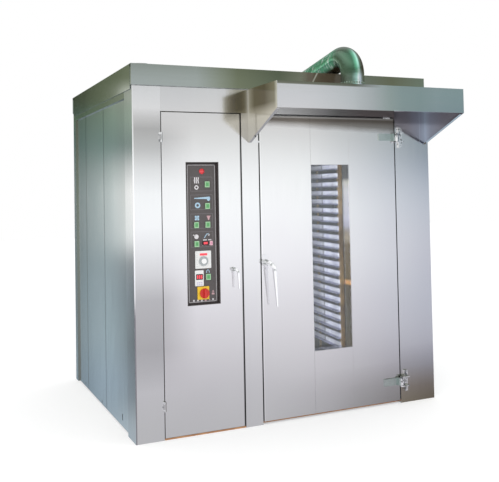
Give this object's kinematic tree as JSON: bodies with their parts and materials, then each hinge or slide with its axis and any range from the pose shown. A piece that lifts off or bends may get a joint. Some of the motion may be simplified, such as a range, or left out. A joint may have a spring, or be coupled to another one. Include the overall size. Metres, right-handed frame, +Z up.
{
  "type": "rotating rack oven",
  "caption": "Rotating rack oven with a hinged baking door, a service door with a recessed control panel, a steam canopy with a roof duct, and a rack that turns inside.",
  "frame": {"origin": "on the floor under the middle of the casing's footprint, canopy left out", "axes": "+X to the right seen from the front, +Y to the back, +Z up; the doors face -Y"},
  "size_m": [2.205, 2.26, 2.473],
  "materials": {
    "casing": "brushed stainless",
    "side_panel": "brushed stainless, dull",
    "fascia": "brushed stainless, dark reflections",
    "door_skin": "bright brushed stainless",
    "door_core": "folded steel box filled with mineral wool",
    "polished": "polished stainless",
    "canopy": "bright brushed stainless",
    "duct": "smooth bright tube",
    "chamber": "heat-browned stainless",
    "rack_steel": "stainless with browned welds",
    "galvanised": "galvanised sheet",
    "hot_steel": "heat-resistant steel, dull",
    "wool": "mineral wool",
    "primer": "copper-brown primer",
    "burner_red": "red cover",
    "motor_grey": "grey enamel",
    "castor": "heat-proof resin",
    "window_glass": "clear toughened glass",
    "lamp_glass": "warm bulb",
    "seal": "silicone",
    "panel_dark": "dark glossy plate",
    "panel_white": "white",
    "instrument": "white instruments, yellow switch plate",
    "dial": "grey dial",
    "knob_red": "red grip",
    "button_green": "green lens",
    "button_pink": "pink lens"
  },
  "bodies": {
    "oven_body": {"base_plate": "primer", "left_front_post": "casing", "right_jamb": "casing", "side_frames": "casing", "door_mullion": "casing", "header_beam": "casing", "left_side_panels": "side_panel", "right_side_panels": "side_panel", "back_panels": "side_panel", "roof_fascia": "fascia", "roof_deck": "galvanised", "chamber_floor": "chamber", "chamber_wall_liners": "chamber", "chamber_ceiling": "chamber", "insulation_slabs": "wool", "chamber_lamps": "galvanised", "lamp_bulbs": "lamp_glass", "heat_exchanger": "hot_steel", "burner": "burner_red", "fan_casing": "galvanised", "fan_motor": "motor_grey", "steam_generator": "hot_steel", "flue_pipe": "casing", "electrical_plate": "panel_white", "canopy_shell": "canopy", "canopy_cheeks": "canopy", "exhaust_duct": "duct", "exhaust_blower": "galvanised", "blower_motor": "motor_grey", "rack_gearmotor": "motor_grey", "jamb_hinges": "polished"},
    "fan_wheel": {"fan_impeller": "galvanised"},
    "blower_wheel": {"blower_impeller": "galvanised"},
    "rack": {"rack_hanger": "rack_steel", "rack_frame": "rack_steel", "rack_rails": "rack_steel"},
    "castor_1": {"castor_wheel_1": "castor"},
    "castor_2": {"castor_wheel_2": "castor"},
    "castor_3": {"castor_wheel_3": "castor"},
    "castor_4": {"castor_wheel_4": "castor"},
    "baking_door": {"door_hinge_leaves": "polished", "main_door_core": "door_core", "main_door_skins": "door_skin", "door_trim": "polished", "window_panes": "window_glass", "door_seal": "seal"},
    "baking_door_lever": {"door_lever": "polished"},
    "control_door": {"service_door": "door_skin", "control_panel": "panel_dark", "panel_instruments": "instrument"},
    "dial": {"temperature_dial": "dial"},
    "main_switch": {"main_switch_knob": "knob_red"},
    "control_latch": {"service_latch": "polished"},
    "button_burner": {"burner_button": "button_green"},
    "button_steam": {"steam_button": "button_green"},
    "button_fan": {"fan_button": "button_green"},
    "button_lamp": {"lamp_button": "button_green"},
    "button_alarm": {"alarm_button": "button_green"},
    "button_reset": {"reset_button": "button_pink"},
    "button_timer": {"timer_button": "button_green"}
  },
  "joints": [
    {"name": "baking_door_swing", "type": "hinge", "parent": "oven_body", "child": "baking_door", "pos_m": [0.809, -0.924, 1.01], "axis": [0, 0, 1], "range_deg": [0, 115]},
    {"name": "control_door_swing", "type": "hinge", "parent": "oven_body", "child": "control_door", "pos_m": [-0.9185, -0.908, 1.01], "axis": [0, 0, -1], "range_deg": [0, 110]},
    {"name": "door_lever_turn", "type": "hinge", "parent": "baking_door", "child": "baking_door_lever", "pos_m": [-0.222, -0.9, 1.045], "axis": [0, -1, 0], "range_deg": [0, 90]},
    {"name": "control_latch_turn", "type": "hinge", "parent": "control_door", "child": "control_latch", "pos_m": [-0.448, -0.9, 1.012], "axis": [0, -1, 0], "range_deg": [0, 90]},
    {"name": "temperature_dial_turn", "type": "hinge", "parent": "control_door", "child": "dial", "pos_m": [-0.645, -0.877, 1.072], "axis": [0, 1, 0], "range_deg": [0, 270]},
    {"name": "main_switch_turn", "type": "hinge", "parent": "control_door", "child": "main_switch", "pos_m": [-0.642, -0.877, 0.87], "axis": [0, 1, 0], "range_deg": [0, 90]},
    {"name": "burner_button_push", "type": "slide", "parent": "control_door", "child": "button_burner", "axis": [0, 1, 0], "range_m": [0, 0.004], "stiffness_N_per_m": 600, "springref_m": -0.002},
    {"name": "steam_button_push", "type": "slide", "parent": "control_door", "child": "button_steam", "axis": [0, 1, 0], "range_m": [0, 0.004], "stiffness_N_per_m": 600, "springref_m": -0.002},
    {"name": "fan_button_push", "type": "slide", "parent": "control_door", "child": "button_fan", "axis": [0, 1, 0], "range_m": [0, 0.004], "stiffness_N_per_m": 600, "springref_m": -0.002},
    {"name": "lamp_button_push", "type": "slide", "parent": "control_door", "child": "button_lamp", "axis": [0, 1, 0], "range_m": [0, 0.004], "stiffness_N_per_m": 600, "springref_m": -0.002},
    {"name": "alarm_button_push", "type": "slide", "parent": "control_door", "child": "button_alarm", "axis": [0, 1, 0], "range_m": [0, 0.004], "stiffness_N_per_m": 600, "springref_m": -0.002},
    {"name": "reset_button_push", "type": "slide", "parent": "control_door", "child": "button_reset", "axis": [0, 1, 0], "range_m": [0, 0.004], "stiffness_N_per_m": 600, "springref_m": -0.002},
    {"name": "timer_button_push", "type": "slide", "parent": "control_door", "child": "button_timer", "axis": [0, 1, 0], "range_m": [0, 0.004], "stiffness_N_per_m": 600, "springref_m": -0.002},
    {"name": "rack_turn", "type": "hinge", "parent": "oven_body", "child": "rack", "pos_m": [0.2775, -0.15, 1.9], "axis": [0, 0, 1], "continuous": true},
    {"name": "castor_1_spin", "type": "hinge", "parent": "rack", "child": "castor_1", "pos_m": [-0.0195, -0.44055, 0.082], "axis": [0.9945, -0.1045, 0], "continuous": true},
    {"name": "castor_2_spin", "type": "hinge", "parent": "rack", "child": "castor_2", "pos_m": [0.5076, -0.49595, 0.082], "axis": [0.9945, -0.1045, 0], "continuous": true},
    {"name": "castor_3_spin", "type": "hinge", "parent": "rack", "child": "castor_3", "pos_m": [0.0474, 0.19595, 0.082], "axis": [0.9945, -0.1045, 0], "continuous": true},
    {"name": "castor_4_spin", "type": "hinge", "parent": "rack", "child": "castor_4", "pos_m": [0.5745, 0.14055, 0.082], "axis": [0.9945, -0.1045, 0], "continuous": true},
    {"name": "circulation_fan_spin", "type": "hinge", "parent": "oven_body", "child": "fan_wheel", "pos_m": [-0.65825, 0.21, 1.9], "axis": [0, 0, 1], "continuous": true},
    {"name": "exhaust_blower_spin", "type": "hinge", "parent": "oven_body", "child": "blower_wheel", "pos_m": [0.35, -0.29813, 2.29581], "axis": [0, 1, 0], "continuous": true}
  ]
}
